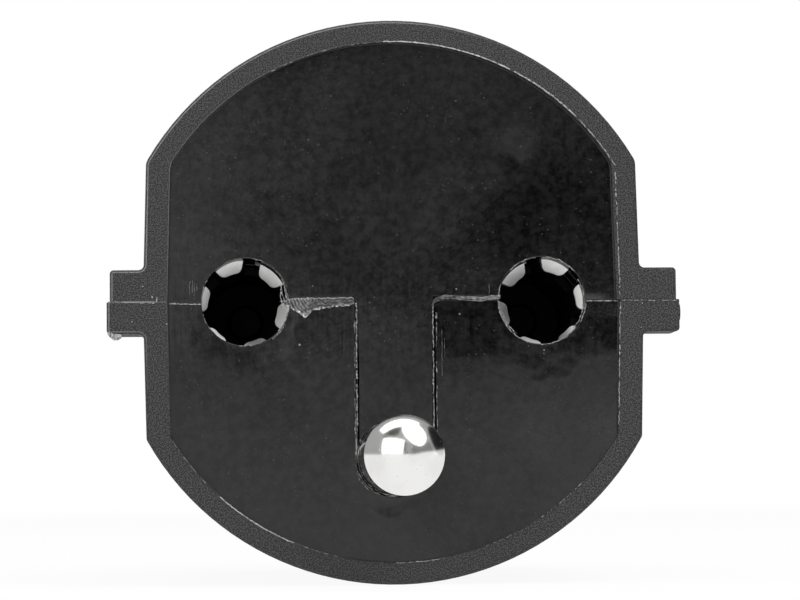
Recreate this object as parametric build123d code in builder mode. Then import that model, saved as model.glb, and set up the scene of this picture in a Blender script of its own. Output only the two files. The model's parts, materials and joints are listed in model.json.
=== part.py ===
"""Earthed travel adapter: a flat socket face with two round contacts and an earth pin on one side,
two flat blades and a round ground pin on the other, in a black housing split into two half shells.

X runs to the right of the socket face, Z up, and Y from the socket into the plug. The origin is the
middle of the rim's plane, on the parting plane and midway between the two contacts. Millimetres.
"""

import os
from math import asin, degrees, radians, tan

from build123d import *

# Housing
flat_margin = 6.5  # contact hole's axis to the flat beside it, at the parting plane
crown_rise = 2.05  # the arcs at the top and bottom stand this much further out than the flats
upper_narrowing = 0.1  # the upper shell is this much narrower on each side
upper_shift = -0.1  # and was moulded this far to the left
flat_draft = 1.4  # degrees that each flat leans in, away from the parting plane
upper_corner_radius = 0.9  # where a flat meets the arc, outside
upper_inner_corner_radius = 1.5
lower_corner_radius = 0.4  # outside and inside
body_length = 36.0  # rim plane to rear face
arc_wall = 1.4
flat_wall = 1.55
front_wall = 1.6
rear_wall = 2.0
face_recess = 0.5  # the socket face lies this far behind the rim
rim_edge_bevel = 0.15
rear_edge_radius = 1.5

# Ears on the flats, at the rim
ear_height = 2.05  # in each shell
ear_depth = 3.2
upper_ear_stand = 2.1  # out of the flat's line
lower_ear_stand = 2.3
ear_corner_radius = 0.25
ear_root_radius = 0.35
gate_radius = 0.55  # the stub where the plastic entered the mould, on the lower right ear
gate_stand = 0.2
gate_drop = 0.76

# Socket side
contact_spacing = 19.0
plug_pin_radius = 2.4  # the round pins that enter here
hole_play = 0.4  # around those pins, in the front walls
earth_drop = 10.0  # earth pin's axis below the parting plane
earth_reach = 14.0  # pin tip in front of the rim plane
land_step = 0.3  # the lower shell's edge stands this much higher between the holes
land_corner_radius = 0.4
tongue_stop = 1.2  # the tongues end this far above the pins' axes

# Plug side
blade_spacing = 12.7
blade_thickness = 1.5
blade_height = 6.35
blade_reach = 17.0
blade_tip_taper = 2.2
blade_tip_inset = 1.3
blade_tip_bevel = 0.375  # on the tip's two faces
blade_tip_bevel_length = 1.1
blade_hole_radius = 1.6
blade_hole_distance = 11.9  # behind the rear face
shoulder_height = 8.6
shoulder_length = 2.6
ground_drop = 11.9
ground_reach = 20.2

# Both earth pins
pin_radius = 2.4
pin_tip_flatness = 0.3  # the end's dome has this much more radius than the pin
pin_neck_step = 0.2  # thinner inside the housing
pin_flange_thickness = 1.2
flange_gap = 0.7  # flange to the partitions beside it
peened_head_gap = 1.0  # peened head to the earth strap's web
peened_head_ledge = 0.6  # around the tail
peened_head_thickness = 0.6

# Contact sleeves, drawn tubes with a closed end and a slotted crown at the mouth
sleeve_play = 0.3  # around the plug's pins
sleeve_stock = 0.5
sleeve_depth = 17.7  # crown to the floor inside
sleeve_floor = 0.9
crest_step = 0.2  # the crown's crest lies this far inside the tube's outer face
petal_squeeze = 0.15  # the petals close to this much less than the plug's pins
crown_fall = 0.55  # how much deeper the petal tips lie than the crest
petal_stock = 0.35
petal_tip_radius = 0.45
finger_count = 6
finger_slot_width = 1.15
finger_length = 7.7
crown_turn = 12.0  # degrees, both crowns outward
collar_step = 0.6  # out of the tube
collar_width = 1.0
collar_distance = 9.0  # from the closed end
contact_splay = 0.2  # the sleeves sit this far outside their holes' axes
contact_sag = 0.22  # and this low

# Spring rings around the fingers
spring_groove_depth = 0.15
spring_stock = 0.4
spring_width = 2.4
spring_gap_width = 1.6
spring_setback = 2.6  # crown to ring

# Straps and rivets
strap_stock = 0.7
strap_half_height = 2.6
strap_bend_radius = 0.4
rivet_radius = 0.95
rivet_head_radius = 1.3
rivet_head_thickness = 0.5
inner_rivet_head_thickness = 0.35
head_bevel = 0.28  # on the rims of the rivets' and the peened heads

# Screws
screw_radius = 1.2
screw_head_radius = 2.3
screw_head_thickness = 1.7
screw_crown_bevel = 0.8  # on the head's rim
screw_point_bevel = 0.6
screw_length = 22.0
screw_recess_depth = 2.15  # counterbore, from the housing's lowest line to the seat
screw_seat_thickness = 1.5
front_screw_distance = 5.5  # from the earth strap's legs
rear_screw_distance = 6.2
cross_slot_width = 0.7
cross_slot_length = 2.9
cross_slot_depth = 1.0

# Inside the shells
partition_thickness = 0.85
rib_thickness = 1.5
post_radius = 1.6
peg_radius = 0.9
peg_height = 1.8
lip_height = 0.8
lip_thickness = 0.7

# Clearances
slot_clearance = 0.1  # earth pin in the lower shell's slot
tongue_clearance = 0.08  # tongue in that slot, each side
tongue_end_clearance = 0.05  # tongue above the pin
cradle_clearance = 0.17
seat_clearance = 0.15  # along the body, between pieces and the walls that trap them
blade_clearance = 0.05
inside_gap = 0.4  # between metal and the partitions and bosses
peg_clearance = 0.08
lip_clearance = 0.08
screw_clearance = 0.15
thread_clearance = 0.05

# Stations along the body, from the rim plane
front_inner = face_recess + front_wall
rear_inner = body_length - rear_wall
crown_y = front_inner + seat_clearance
floor_y = crown_y + sleeve_depth
sleeve_end = floor_y + sleeve_floor
collar_y = sleeve_end - collar_distance
strap_back = sleeve_end + strap_stock
shoulder_back = rear_inner - seat_clearance
shoulder_front = shoulder_back - shoulder_length
blade_tail = strap_back + inside_gap + rivet_head_thickness
blade_rivet_y = (blade_tail + shoulder_front) / 2
front_flange_y = front_inner + seat_clearance
rear_flange_y = rear_inner - seat_clearance - pin_flange_thickness
front_saddle_y = front_flange_y + pin_flange_thickness + seat_clearance
rear_saddle_y = rear_flange_y - seat_clearance - rib_thickness
front_leg_y = front_saddle_y + rib_thickness + seat_clearance
rear_leg_y = rear_saddle_y - seat_clearance - strap_stock
front_screw_y = front_leg_y + front_screw_distance
rear_screw_y = rear_leg_y - rear_screw_distance
post_y = (strap_back + shoulder_front) / 2

# Stations across the body
contact_x = contact_spacing / 2
lower_half_width = contact_x + flat_margin
upper_half_width = lower_half_width - upper_narrowing
body_radius = lower_half_width + crown_rise
upper_ear_reach = lower_half_width + upper_ear_stand
lower_ear_reach = lower_half_width + lower_ear_stand
hole_radius = plug_pin_radius + hole_play
sleeve_x = contact_x + contact_splay
sleeve_bore = plug_pin_radius + sleeve_play
sleeve_radius = sleeve_bore + sleeve_stock
crown_crest_radius = sleeve_radius - crest_step
crown_throat_radius = plug_pin_radius - petal_squeeze
collar_radius = sleeve_radius + collar_step
blade_x = blade_spacing / 2
blade_inner_x = blade_x - blade_thickness / 2
blade_outer_x = blade_x + blade_thickness / 2
strap_outer_x = blade_outer_x + strap_stock
partition_outer = min(sleeve_x - collar_radius, blade_inner_x - inner_rivet_head_thickness) - inside_gap / 2
partition_inner = partition_outer - partition_thickness
web_outer = partition_inner - inside_gap
web_inner = web_outer - strap_stock
pin_dome_radius = pin_radius + pin_tip_flatness
pin_neck_radius = pin_radius - pin_neck_step
pin_flange_radius = partition_inner - flange_gap
peened_head_radius = web_inner - peened_head_gap
pin_tail_radius = peened_head_radius - peened_head_ledge
boss_radius = web_inner - inside_gap
inner_radius = body_radius - arc_wall
inner_half_width = lower_half_width - flat_wall
post_x = inner_half_width - post_radius - inside_gap
slot_half_width = pin_radius + slot_clearance
tongue_half_width = slot_half_width - tongue_clearance
tongue_end_radius = pin_radius + tongue_end_clearance
seat_z = screw_recess_depth - body_radius
boss_top_z = seat_z + screw_seat_thickness
strap_low_z = boss_top_z + inside_gap
strap_high_z = peened_head_radius + inside_gap / 2 - earth_drop

# Small allowances for selecting and for tools that overrun
near = 0.01
overrun = 1.0


def across(y):
    """The plane across the body at a station: its X is X and its Y is Z, and it faces the socket side."""
    return Plane.XZ.offset(-y)


def half_outline(side, arc_inset=0, flat_inset=0):
    """Half of the body's section: an arc between two leaning flats. side is 1 above, -1 below."""
    upper = side > 0
    upper_radius = upper_inner_corner_radius if arc_inset else upper_corner_radius
    middle_x = upper_shift if upper else 0
    half_width = (upper_half_width if upper else lower_half_width) - flat_inset
    tall = 2 * body_radius
    lean = tall * tan(radians(flat_draft))
    with BuildSketch() as outline:
        with Locations((middle_x, 0)):
            Circle(body_radius - arc_inset)
        with BuildLine():
            Polyline(
                (middle_x - half_width, 0),
                (middle_x + half_width, 0),
                (middle_x + half_width - lean, side * tall),
                (middle_x + lean - half_width, side * tall),
                close=True,
            )
        make_face(mode=Mode.INTERSECT)
        corners = outline.vertices().sort_by(lambda v: abs(v.Y))[-2:]
        fillet(corners, upper_radius if upper else lower_corner_radius)
    return outline.sketch


def eared_outline(side, ear_reach):
    """The half section with an ear on each flat, rounded at the ear's corner and root."""
    with BuildSketch() as outline:
        add(half_outline(side))
        with Locations((0, side * ear_height / 2)):
            Rectangle(2 * ear_reach, ear_height)
        for chosen, radius in ((slice(2, 4), ear_corner_radius), (slice(0, 2), ear_root_radius)):
            ear_tops = outline.vertices().filter_by(lambda v: abs(abs(v.Y) - ear_height) < near)
            fillet(ear_tops.sort_by(lambda v: abs(v.X))[chosen], radius)
    return outline.sketch


def shell_blank(side, ear_reach):
    """What the two shells share: outer form, ears, face recess, cavity, partitions and cradle ribs."""
    outer = half_outline(side)
    eared = eared_outline(side, ear_reach)
    inner = half_outline(side, arc_wall, flat_wall)
    middle_z = side * body_radius / 2
    chamber_width = body_radius - partition_outer
    chamber_x = partition_outer + chamber_width / 2
    with BuildPart() as blank:
        with BuildSketch(across(0)):
            add(outer)
        extrude(amount=-body_length)
        rear_edges = blank.faces().sort_by(Axis.Y)[-1].edges()
        fillet(rear_edges.filter_by(lambda e: abs(e.center().Z) > near), rear_edge_radius)
        with BuildSketch(across(0)):
            add(eared)
        extrude(amount=-ear_depth)
        rim_edges = blank.faces().sort_by(Axis.Y)[0].edges()
        chamfer(rim_edges.filter_by(lambda e: abs(e.center().Z) > near), rim_edge_bevel)
        # The socket face, sunk behind the rim
        with BuildSketch(across(0)):
            add(inner)
        extrude(amount=-face_recess, mode=Mode.SUBTRACT)
        # The cavity
        with BuildSketch(across(front_inner)):
            add(inner)
        extrude(amount=front_inner - rear_inner, mode=Mode.SUBTRACT)
        # Partitions that keep the earth parts apart from the live ones
        with BuildSketch(across(front_inner)):
            with Locations(*[(s * (partition_outer - partition_thickness / 2), middle_z) for s in (-1, 1)]):
                Rectangle(partition_thickness, body_radius)
            add(inner, mode=Mode.INTERSECT)
        extrude(amount=front_inner - rear_inner)
        # Cradle ribs: one each side of the collar, and one near the closed end
        collar_gap = collar_width + 2 * seat_clearance
        cradle_stations = (
            collar_y - seat_clearance - rib_thickness,
            collar_y + collar_gap - seat_clearance,
            sleeve_end - rib_thickness - inside_gap,
        )
        for station in cradle_stations:
            with BuildSketch(across(station)):
                with Locations((-chamber_x, middle_z), (chamber_x, middle_z)):
                    Rectangle(chamber_width, body_radius)
                add(inner, mode=Mode.INTERSECT)
                with Locations((-sleeve_x, -contact_sag), (sleeve_x, -contact_sag)):
                    Circle(sleeve_radius + cradle_clearance, mode=Mode.SUBTRACT)
            extrude(amount=-rib_thickness)
        # Ribs in front of the blades' shoulders, notched for blade and strap
        with BuildSketch(across(shoulder_front - seat_clearance - rib_thickness)):
            with Locations((-chamber_x, middle_z), (chamber_x, middle_z)):
                Rectangle(chamber_width, body_radius)
            add(inner, mode=Mode.INTERSECT)
            notch_width = strap_outer_x - blade_inner_x + 2 * blade_clearance
            notch_x = (strap_outer_x + blade_inner_x) / 2
            notch_height = 2 * strap_half_height + 2 * blade_clearance
            with Locations((-notch_x, 0), (notch_x, 0)):
                Rectangle(notch_width, notch_height, mode=Mode.SUBTRACT)
        extrude(amount=-rib_thickness)
        # Posts at the rear corners, for the pegs
        with BuildSketch(Plane.XY):
            with Locations((-post_x, post_y), (post_x, post_y)):
                Circle(post_radius)
        extrude(amount=side * (inner_radius**2 - post_x**2) ** 0.5)
        # Blade slots through the rear wall
        with BuildSketch(across(rear_inner)):
            with Locations((-blade_x, 0), (blade_x, 0)):
                Rectangle(blade_thickness + 2 * blade_clearance, blade_height + 2 * blade_clearance)
        extrude(amount=-rear_wall, mode=Mode.SUBTRACT)
    return blank.part


# The round holes of the socket face, through both shells' front walls
with BuildPart() as contact_holes:
    with BuildSketch(across(face_recess)):
        with Locations((-contact_x, 0), (contact_x, 0)):
            Circle(hole_radius)
    extrude(amount=-front_wall)

# The raised lands between the slot and the holes
with BuildPart() as lands:
    land_width = contact_x - slot_half_width
    with BuildSketch(across(face_recess)):
        with Locations(*[(s * (slot_half_width + land_width / 2), land_step / 2) for s in (-1, 1)]):
            Rectangle(land_width, land_step)
    extrude(amount=-front_wall)

# Upper shell, with the two tongues that close the slots above the earth pins
with BuildPart() as upper_shell:
    add(shell_blank(1, upper_ear_reach))
    add(lands.part, mode=Mode.SUBTRACT)
    add(contact_holes.part, mode=Mode.SUBTRACT)
    for start, thickness, drop in (
        (face_recess, front_wall, earth_drop),
        (rear_inner, rear_wall, ground_drop),
    ):
        with BuildSketch(across(start)):
            tongue_end = tongue_stop - drop
            with Locations((0, (land_step + tongue_end) / 2)):
                Rectangle(2 * tongue_half_width, land_step - tongue_end)
            with Locations((0, -drop)):
                Circle(tongue_end_radius, mode=Mode.SUBTRACT)
        extrude(amount=-thickness)
    # Screw bosses
    with BuildSketch(Plane.XY):
        with Locations((0, front_screw_y), (0, rear_screw_y)):
            Circle(boss_radius)
    extrude(amount=body_radius - arc_wall / 2)
    with Locations(*[Plane((0, y, 0), z_dir=(0, 0, -1)) for y in (front_screw_y, rear_screw_y)]):
        Hole(screw_radius + thread_clearance, depth=screw_length + seat_z + overrun)
    # Sockets for the pegs
    with Locations(*[Plane((x, post_y, 0), z_dir=(0, 0, -1)) for x in (-post_x, post_x)]):
        Hole(peg_radius + peg_clearance, depth=peg_height + seat_clearance)
    # Rebates for the lower shell's lip
    with BuildSketch(Plane.XY):
        rebate_length = rear_inner - ear_depth
        rebate_width = inside_gap + lip_thickness + lip_clearance
        rebate_x = inner_half_width - inside_gap + rebate_width / 2
        with Locations(*[(s * rebate_x, ear_depth + rebate_length / 2) for s in (-1, 1)]):
            Rectangle(rebate_width, rebate_length)
    extrude(amount=lip_height + lip_clearance, mode=Mode.SUBTRACT)

# Lower shell, with open slots for the earth pins, saddles, pegs, lip and screw recesses
with BuildPart() as lower_shell:
    add(shell_blank(-1, lower_ear_reach))
    add(lands.part)
    add(contact_holes.part, mode=Mode.SUBTRACT)
    for start, thickness, drop in (
        (face_recess, front_wall, earth_drop),
        (rear_inner, rear_wall, ground_drop),
    ):
        with BuildSketch(across(start)):
            with Locations((0, (land_step - drop) / 2)):
                Rectangle(2 * slot_half_width, drop + land_step)
            with Locations((0, -drop)):
                Circle(slot_half_width)
        extrude(amount=-thickness, mode=Mode.SUBTRACT)
    land_corners = (
        lower_shell.edges()
        .filter_by(Axis.Y)
        .filter_by(lambda e: abs(abs(e.center().X) - slot_half_width) < near)
        .filter_by(lambda e: abs(e.center().Z - land_step) < near)
    )
    fillet(land_corners, land_corner_radius)
    # Saddles that trap the pins' flanges against the walls
    inner_lower = half_outline(-1, arc_wall, flat_wall)
    for start, drop in ((front_saddle_y, earth_drop), (rear_saddle_y, ground_drop)):
        saddle_top = pin_neck_radius - drop
        with BuildSketch(across(start)):
            with Locations((0, saddle_top - body_radius / 2)):
                Rectangle(2 * partition_inner, body_radius)
            add(inner_lower, mode=Mode.INTERSECT)
            with Locations((0, saddle_top - pin_neck_radius / 2)):
                Rectangle(2 * (pin_neck_radius + blade_clearance), pin_neck_radius, mode=Mode.SUBTRACT)
            with Locations((0, -drop)):
                Circle(pin_neck_radius + blade_clearance, mode=Mode.SUBTRACT)
        extrude(amount=-rib_thickness)
    # Screw bosses: a wide seat under the head, a slim tube above it
    seat_boss_radius = screw_head_radius + screw_clearance + arc_wall / 2
    for radius, top in ((seat_boss_radius, boss_top_z), (boss_radius, 0)):
        with BuildSketch(Plane.XY.offset(arc_wall / 2 - body_radius)):
            with Locations((0, front_screw_y), (0, rear_screw_y)):
                Circle(radius)
        extrude(amount=top + body_radius - arc_wall / 2)
    with Locations(*[Plane((0, y, -body_radius), z_dir=(0, 0, -1)) for y in (front_screw_y, rear_screw_y)]):
        CounterBoreHole(
            radius=screw_radius + screw_clearance,
            counter_bore_radius=screw_head_radius + screw_clearance,
            counter_bore_depth=screw_recess_depth,
            depth=body_radius + overrun,
        )
    # Pegs
    with BuildSketch(Plane.XY.offset(-overrun)):
        with Locations((-post_x, post_y), (post_x, post_y)):
            Circle(peg_radius)
    extrude(amount=peg_height + overrun)
    # What is left of the moulding gate
    with BuildSketch(Plane.YZ.offset(lower_ear_reach)):
        with Locations((ear_depth / 2, -gate_drop)):
            Circle(gate_radius)
    extrude(amount=gate_stand)
    # Lip along each flat
    with BuildSketch(Plane.XY.offset(-overrun)):
        lip_length = rear_inner - ear_depth - 2 * lip_clearance
        lip_x = inner_half_width + lip_thickness / 2
        with Locations(*[(s * lip_x, (ear_depth + rear_inner) / 2) for s in (-1, 1)]):
            Rectangle(lip_thickness, lip_length)
    extrude(amount=lip_height + overrun)


def contact_sleeve(side):
    """One contact: crown with petals, slotted fingers, collar and closed end."""
    x = side * sleeve_x
    axis = Axis((x, 0, -contact_sag), (0, 1, 0))
    first_cut = side * crown_turn + 180 / finger_count
    crest_y = crown_y
    tip_y = crown_y + crown_fall
    ring_y = crown_y + spring_setback
    groove_radius = sleeve_radius - spring_groove_depth
    with BuildPart() as sleeve:
        with BuildSketch(Plane.XY.offset(-contact_sag)):
            with BuildLine():
                Polyline(
                    (x + crown_throat_radius, tip_y),
                    (x + crown_crest_radius, crest_y),
                    (x + sleeve_radius, crest_y + sleeve_radius - crown_crest_radius),
                    (x + sleeve_radius, ring_y),
                    (x + groove_radius, ring_y),
                    (x + groove_radius, ring_y + spring_width),
                    (x + sleeve_radius, ring_y + spring_width),
                    (x + sleeve_radius, collar_y),
                    (x + collar_radius, collar_y),
                    (x + collar_radius, collar_y + collar_width),
                    (x + sleeve_radius, collar_y + collar_width),
                    (x + sleeve_radius, sleeve_end),
                    (x + rivet_radius, sleeve_end),
                    (x + rivet_radius, floor_y),
                    (x + sleeve_bore, floor_y),
                    (x + sleeve_bore, tip_y + petal_stock + sleeve_bore - crown_throat_radius),
                    (x + crown_throat_radius, tip_y + petal_stock),
                    close=True,
                )
            make_face()
        revolve(axis=axis)
        # Saw cuts between the fingers
        with BuildSketch(across(crown_y)):
            with Locations((x, -contact_sag)):
                with PolarLocations(sleeve_radius, finger_count, start_angle=first_cut):
                    Rectangle(2 * sleeve_radius - crown_throat_radius, finger_slot_width)
        extrude(amount=-finger_length, mode=Mode.SUBTRACT)
        # Rounded tips on the petals
        tip_corners = (
            sleeve.edges()
            .filter_by(Axis.Y)
            .filter_by(lambda e: abs(e.center().Y - tip_y - petal_stock / 2) < near)
        )
        fillet(tip_corners, petal_tip_radius)
    return sleeve


def spring_ring(side):
    """A split steel ring in the sleeve's groove, which closes the fingers on the pin."""
    x = side * sleeve_x
    inner = sleeve_radius - spring_groove_depth
    with BuildPart() as ring:
        with BuildSketch(across(crown_y + spring_setback)):
            with Locations((x, -contact_sag)):
                Circle(inner + spring_stock)
                Circle(inner, mode=Mode.SUBTRACT)
            with Locations((x, sleeve_radius - contact_sag)):
                Rectangle(spring_gap_width, 2 * sleeve_radius, mode=Mode.SUBTRACT)
        extrude(amount=-spring_width)
    return ring


def live_strap(side):
    """An angle strip: one leg behind the sleeve's closed end, the other along the blade's outer face."""
    far_x = sleeve_x + sleeve_bore
    end_y = shoulder_front - seat_clearance
    with BuildPart() as strap:
        with BuildSketch(Plane.XY):
            with BuildLine():
                Polyline(
                    (side * blade_outer_x, sleeve_end),
                    (side * far_x, sleeve_end),
                    (side * far_x, strap_back),
                    (side * strap_outer_x, strap_back),
                    (side * strap_outer_x, end_y),
                    (side * blade_outer_x, end_y),
                    close=True,
                )
            make_face()
        extrude(amount=strap_half_height, both=True)
        outer_bend = strap.edges().filter_by(Axis.Z).sort_by(
            lambda e: abs(e.center().X - side * blade_outer_x) + abs(e.center().Y - sleeve_end)
        )[0]
        fillet(outer_bend, strap_bend_radius + strap_stock)
        inner_bend = strap.edges().filter_by(Axis.Z).sort_by(
            lambda e: abs(e.center().X - side * strap_outer_x) + abs(e.center().Y - strap_back)
        )[0]
        fillet(inner_bend, strap_bend_radius)
        with Locations(Plane((side * sleeve_x, strap_back, -contact_sag), z_dir=(0, 1, 0))):
            Hole(rivet_radius, depth=strap_stock)
        with Locations(Plane((side * strap_outer_x, blade_rivet_y, 0), z_dir=(side, 0, 0))):
            Hole(rivet_radius, depth=strap_stock)
    return strap


def plug_blade(side):
    """A flat blade with a tapered tip and its hole, shouldered inside the rear wall, with a riveted tail."""
    tip_y = body_length + blade_reach
    half = blade_height / 2
    shoulder = shoulder_height / 2
    with BuildPart() as blade:
        with BuildSketch(Plane.YZ.offset(side * blade_x)):
            with BuildLine():
                Polyline(
                    (blade_tail, -strap_half_height),
                    (shoulder_front, -strap_half_height),
                    (shoulder_front, -shoulder),
                    (shoulder_back, -shoulder),
                    (shoulder_back, -half),
                    (tip_y - blade_tip_taper, -half),
                    (tip_y, blade_tip_inset - half),
                    (tip_y, half - blade_tip_inset),
                    (tip_y - blade_tip_taper, half),
                    (shoulder_back, half),
                    (shoulder_back, shoulder),
                    (shoulder_front, shoulder),
                    (shoulder_front, strap_half_height),
                    (blade_tail, strap_half_height),
                    close=True,
                )
            make_face()
        extrude(amount=blade_thickness / 2, both=True)
        tip_edges = blade.faces().sort_by(Axis.Y)[-1].edges().filter_by(Axis.Z)
        chamfer(tip_edges, length=blade_tip_bevel, length2=blade_tip_bevel_length)
        hole_y = body_length + blade_hole_distance
        with Locations(Plane((side * blade_outer_x, hole_y, 0), z_dir=(side, 0, 0))):
            Hole(blade_hole_radius, depth=blade_thickness)
        with Locations(Plane((side * blade_outer_x, blade_rivet_y, 0), z_dir=(side, 0, 0))):
            Hole(rivet_radius, depth=blade_thickness)
    return blade


def turned_rivet(origin, direction, first_head, grip, last_head):
    """A rivet from its first head's outer face, along direction: low bevelled heads around the grip."""
    seat = Plane(origin, z_dir=direction)
    with BuildPart() as rivet:
        with BuildSketch(seat.offset(first_head)):
            Circle(rivet_radius)
        extrude(amount=grip)
        for start, height in ((0, first_head), (first_head + grip, last_head)):
            with BuildSketch(seat.offset(start)):
                Circle(rivet_head_radius)
            extrude(amount=height)
        rims = rivet.edges().filter_by(GeomType.CIRCLE).filter_by(lambda e: e.radius > rivet_radius + near)
        outer_rims = rims.sort_by(Axis(origin, direction))
        chamfer([outer_rims[0], outer_rims[-1]], head_bevel)
    return rivet


def turned_pin(stations, drop, tip_y, direction):
    """A turned earth pin: round-ended pin, neck in the wall, flange, shank, tail and peened head.

    stations are the Y places of the exposed pin's foot, the flange's two faces, the tail's shoulder, the
    peened head's seat and the pin's end, from outside to inside.
    """
    foot, flange_out, flange_in, shoulder, head_seat, end = stations
    dome_angle = degrees(asin(pin_radius / pin_dome_radius))
    with BuildPart() as pin:
        with BuildSketch(Plane.XY.offset(-drop)):
            with BuildLine():
                dome = CenterArc(
                    (0, tip_y - direction * pin_dome_radius),
                    pin_dome_radius,
                    direction * (90 - dome_angle),
                    direction * dome_angle,
                )
                Polyline(
                    dome @ 0,
                    (pin_radius, foot),
                    (pin_neck_radius, foot),
                    (pin_neck_radius, flange_out),
                    (pin_flange_radius, flange_out),
                    (pin_flange_radius, flange_in),
                    (pin_neck_radius, flange_in),
                    (pin_neck_radius, shoulder),
                    (pin_tail_radius, shoulder),
                    (pin_tail_radius, head_seat),
                    (peened_head_radius, head_seat),
                    (peened_head_radius, end),
                    (0, end),
                    dome @ 1,
                )
            make_face()
        revolve(axis=Axis((0, 0, -drop), (0, 1, 0)))
        ends = pin.edges().filter_by(GeomType.CIRCLE).filter_by(lambda e: abs(e.center().Y - end) < near)
        chamfer(ends, head_bevel)
    return pin


def housing_screw(y):
    """A pan-head screw that enters from below, with a cross recess."""
    with BuildPart() as screw:
        with BuildSketch(Plane((0, y, seat_z))):
            Circle(screw_radius)
        extrude(amount=screw_length)
        chamfer(screw.edges().filter_by(GeomType.CIRCLE).sort_by(Axis.Z)[-1], screw_point_bevel)
        with BuildSketch(Plane((0, y, seat_z))):
            Circle(screw_head_radius)
        extrude(amount=-screw_head_thickness)
        crown = screw.edges().filter_by(GeomType.CIRCLE).sort_by(Axis.Z)[0]
        chamfer(crown, screw_crown_bevel, screw_crown_bevel / 2)
        with BuildSketch(Plane((0, y, seat_z - screw_head_thickness))):
            Rectangle(cross_slot_length, cross_slot_width)
            Rectangle(cross_slot_width, cross_slot_length)
        extrude(amount=cross_slot_depth, mode=Mode.SUBTRACT)
    return screw


# Earth strap: a channel that joins the two earth pins, past the screw bosses
with BuildPart() as earth_strap:
    leg_end = -(pin_flange_radius - inside_gap)
    with BuildSketch(Plane.XY.offset(strap_low_z)):
        with BuildLine():
            Polyline(
                (leg_end, front_leg_y),
                (web_outer, front_leg_y),
                (web_outer, rear_leg_y + strap_stock),
                (leg_end, rear_leg_y + strap_stock),
                (leg_end, rear_leg_y),
                (web_inner, rear_leg_y),
                (web_inner, front_leg_y + strap_stock),
                (leg_end, front_leg_y + strap_stock),
                close=True,
            )
        make_face()
    extrude(amount=strap_high_z - strap_low_z)
    upright = earth_strap.edges().filter_by(Axis.Z)
    outer_bends = upright.filter_by(lambda e: abs(e.center().X - web_outer) < near)
    inner_bends = upright.filter_by(lambda e: abs(e.center().X - web_inner) < near)
    fillet(outer_bends, strap_bend_radius + strap_stock)
    fillet(inner_bends, strap_bend_radius)
    for station, drop in ((front_leg_y, earth_drop), (rear_leg_y, ground_drop)):
        with Locations(Plane((0, station + strap_stock, -drop), z_dir=(0, 1, 0))):
            Hole(pin_tail_radius, depth=strap_stock)

parts = {
    "upper_shell": upper_shell,
    "lower_shell": lower_shell,
    "earth_strap": earth_strap,
    "earth_pin": turned_pin(
        (
            face_recess,
            front_flange_y,
            front_flange_y + pin_flange_thickness,
            front_leg_y,
            front_leg_y + strap_stock,
            front_leg_y + strap_stock + peened_head_thickness,
        ),
        earth_drop,
        -earth_reach,
        -1,
    ),
    "ground_pin": turned_pin(
        (
            body_length,
            rear_flange_y + pin_flange_thickness,
            rear_flange_y,
            rear_leg_y + strap_stock,
            rear_leg_y,
            rear_leg_y - peened_head_thickness,
        ),
        ground_drop,
        body_length + ground_reach,
        1,
    ),
    "front_screw": housing_screw(front_screw_y),
    "rear_screw": housing_screw(rear_screw_y),
}
for name, side in (("left", -1), ("right", 1)):
    parts[f"{name}_contact"] = contact_sleeve(side)
    parts[f"{name}_spring_ring"] = spring_ring(side)
    parts[f"{name}_strap"] = live_strap(side)
    parts[f"{name}_blade"] = plug_blade(side)
    parts[f"{name}_contact_rivet"] = turned_rivet(
        (side * sleeve_x, floor_y - rivet_head_thickness, -contact_sag),
        (0, 1, 0),
        rivet_head_thickness,
        sleeve_floor + strap_stock,
        rivet_head_thickness,
    )
    parts[f"{name}_blade_rivet"] = turned_rivet(
        (side * (blade_inner_x - inner_rivet_head_thickness), blade_rivet_y, 0),
        (side, 0, 0),
        inner_rivet_head_thickness,
        blade_thickness + strap_stock,
        rivet_head_thickness,
    )

os.makedirs("parts", exist_ok=True)
for node, built in parts.items():
    built.part.label = node
    export_step(built.part, f"parts/{node}.step")
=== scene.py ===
# %% [markdown]
# # A black travel plug adapter
#
# The object is a small clamshell housing of black plastic. One side is a sunk socket face with two
# round holes and a plated earth pin. The other side carries two flat blades and a round ground pin.
# Every solid piece already comes from the CAD model in its right place, so this lesson finishes their
# surfaces, adds the thin moulding flash that no CAD model holds, and sets up a plain studio.

import json
from math import cos, pi, radians, sin

import bmesh
import bpy
from mathutils import Matrix, Vector, noise


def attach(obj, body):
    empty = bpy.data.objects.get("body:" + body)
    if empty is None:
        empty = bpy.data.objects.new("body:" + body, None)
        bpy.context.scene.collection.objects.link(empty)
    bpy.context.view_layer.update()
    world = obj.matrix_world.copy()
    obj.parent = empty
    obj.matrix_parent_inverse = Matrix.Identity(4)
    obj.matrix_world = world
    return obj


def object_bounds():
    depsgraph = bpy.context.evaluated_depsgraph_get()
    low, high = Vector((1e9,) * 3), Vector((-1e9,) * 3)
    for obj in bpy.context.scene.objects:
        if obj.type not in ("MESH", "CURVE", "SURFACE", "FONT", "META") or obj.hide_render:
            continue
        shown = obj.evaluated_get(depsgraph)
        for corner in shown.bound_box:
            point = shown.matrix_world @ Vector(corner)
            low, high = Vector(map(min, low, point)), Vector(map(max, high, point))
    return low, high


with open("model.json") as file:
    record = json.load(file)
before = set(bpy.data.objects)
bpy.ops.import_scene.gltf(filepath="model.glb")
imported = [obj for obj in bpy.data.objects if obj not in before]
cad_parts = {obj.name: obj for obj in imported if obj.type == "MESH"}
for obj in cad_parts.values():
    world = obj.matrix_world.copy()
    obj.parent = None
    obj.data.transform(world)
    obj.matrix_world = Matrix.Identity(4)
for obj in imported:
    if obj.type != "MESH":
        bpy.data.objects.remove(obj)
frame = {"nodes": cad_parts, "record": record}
cad_low, cad_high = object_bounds()
MM = 0.001
print("nodes", len(frame["nodes"]), "CAD box in mm", [round(v / MM, 2) for v in (*cad_low, *cad_high)])

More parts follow.
